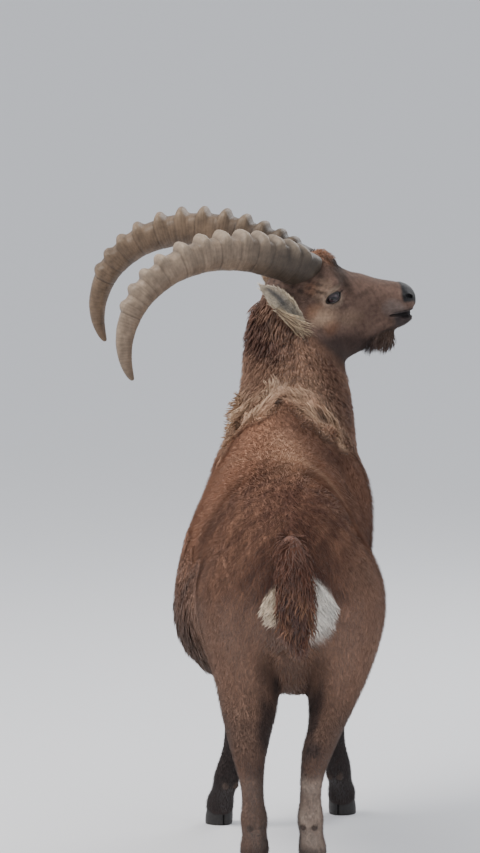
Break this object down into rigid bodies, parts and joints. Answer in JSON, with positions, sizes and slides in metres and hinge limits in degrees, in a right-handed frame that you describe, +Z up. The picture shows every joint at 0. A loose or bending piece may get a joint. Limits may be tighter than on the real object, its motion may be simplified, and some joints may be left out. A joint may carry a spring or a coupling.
{
  "type": "alpine ibex",
  "caption": "Adult male alpine ibex standing with its head turned to its right, long knobbed horns swept back, beard, short tufted tail and winter coat.",
  "frame": {"origin": "on the floor, under the middle of the animal's box", "axes": "+Y the way the body faces, +X the animal's right, +Z up; the head is turned to +X"},
  "size_m": [0.7046, 1.0994, 1.2944],
  "materials": {
    "coat": "coarse brown winter fur, matt",
    "tail_coat": "dark reddish brown hair, matt",
    "ear_coat": "short pale hair, matt",
    "horn": "ringed grey-brown horn, satin",
    "hoof": "dark worn hoof horn, satin",
    "eye": "wet dark brown eye, glossy"
  },
  "bodies": {
    "root": {"torso": "coat", "neck": "coat", "head": "coat", "hind_right_leg": "coat", "hind_left_leg": "coat", "fore_right_leg": "coat", "fore_left_leg": "coat", "tail": "tail_coat", "ear_left": "ear_coat", "ear_right": "ear_coat", "eye_left": "eye", "eye_right": "eye", "horn_left": "horn", "horn_right": "horn", "hind_right_hoof_in": "hoof", "hind_right_hoof_out": "hoof", "hind_left_hoof_in": "hoof", "hind_left_hoof_out": "hoof", "fore_right_hoof_in": "hoof", "fore_right_hoof_out": "hoof", "fore_left_hoof_in": "hoof", "fore_left_hoof_out": "hoof"}
  },
  "joints": []
}
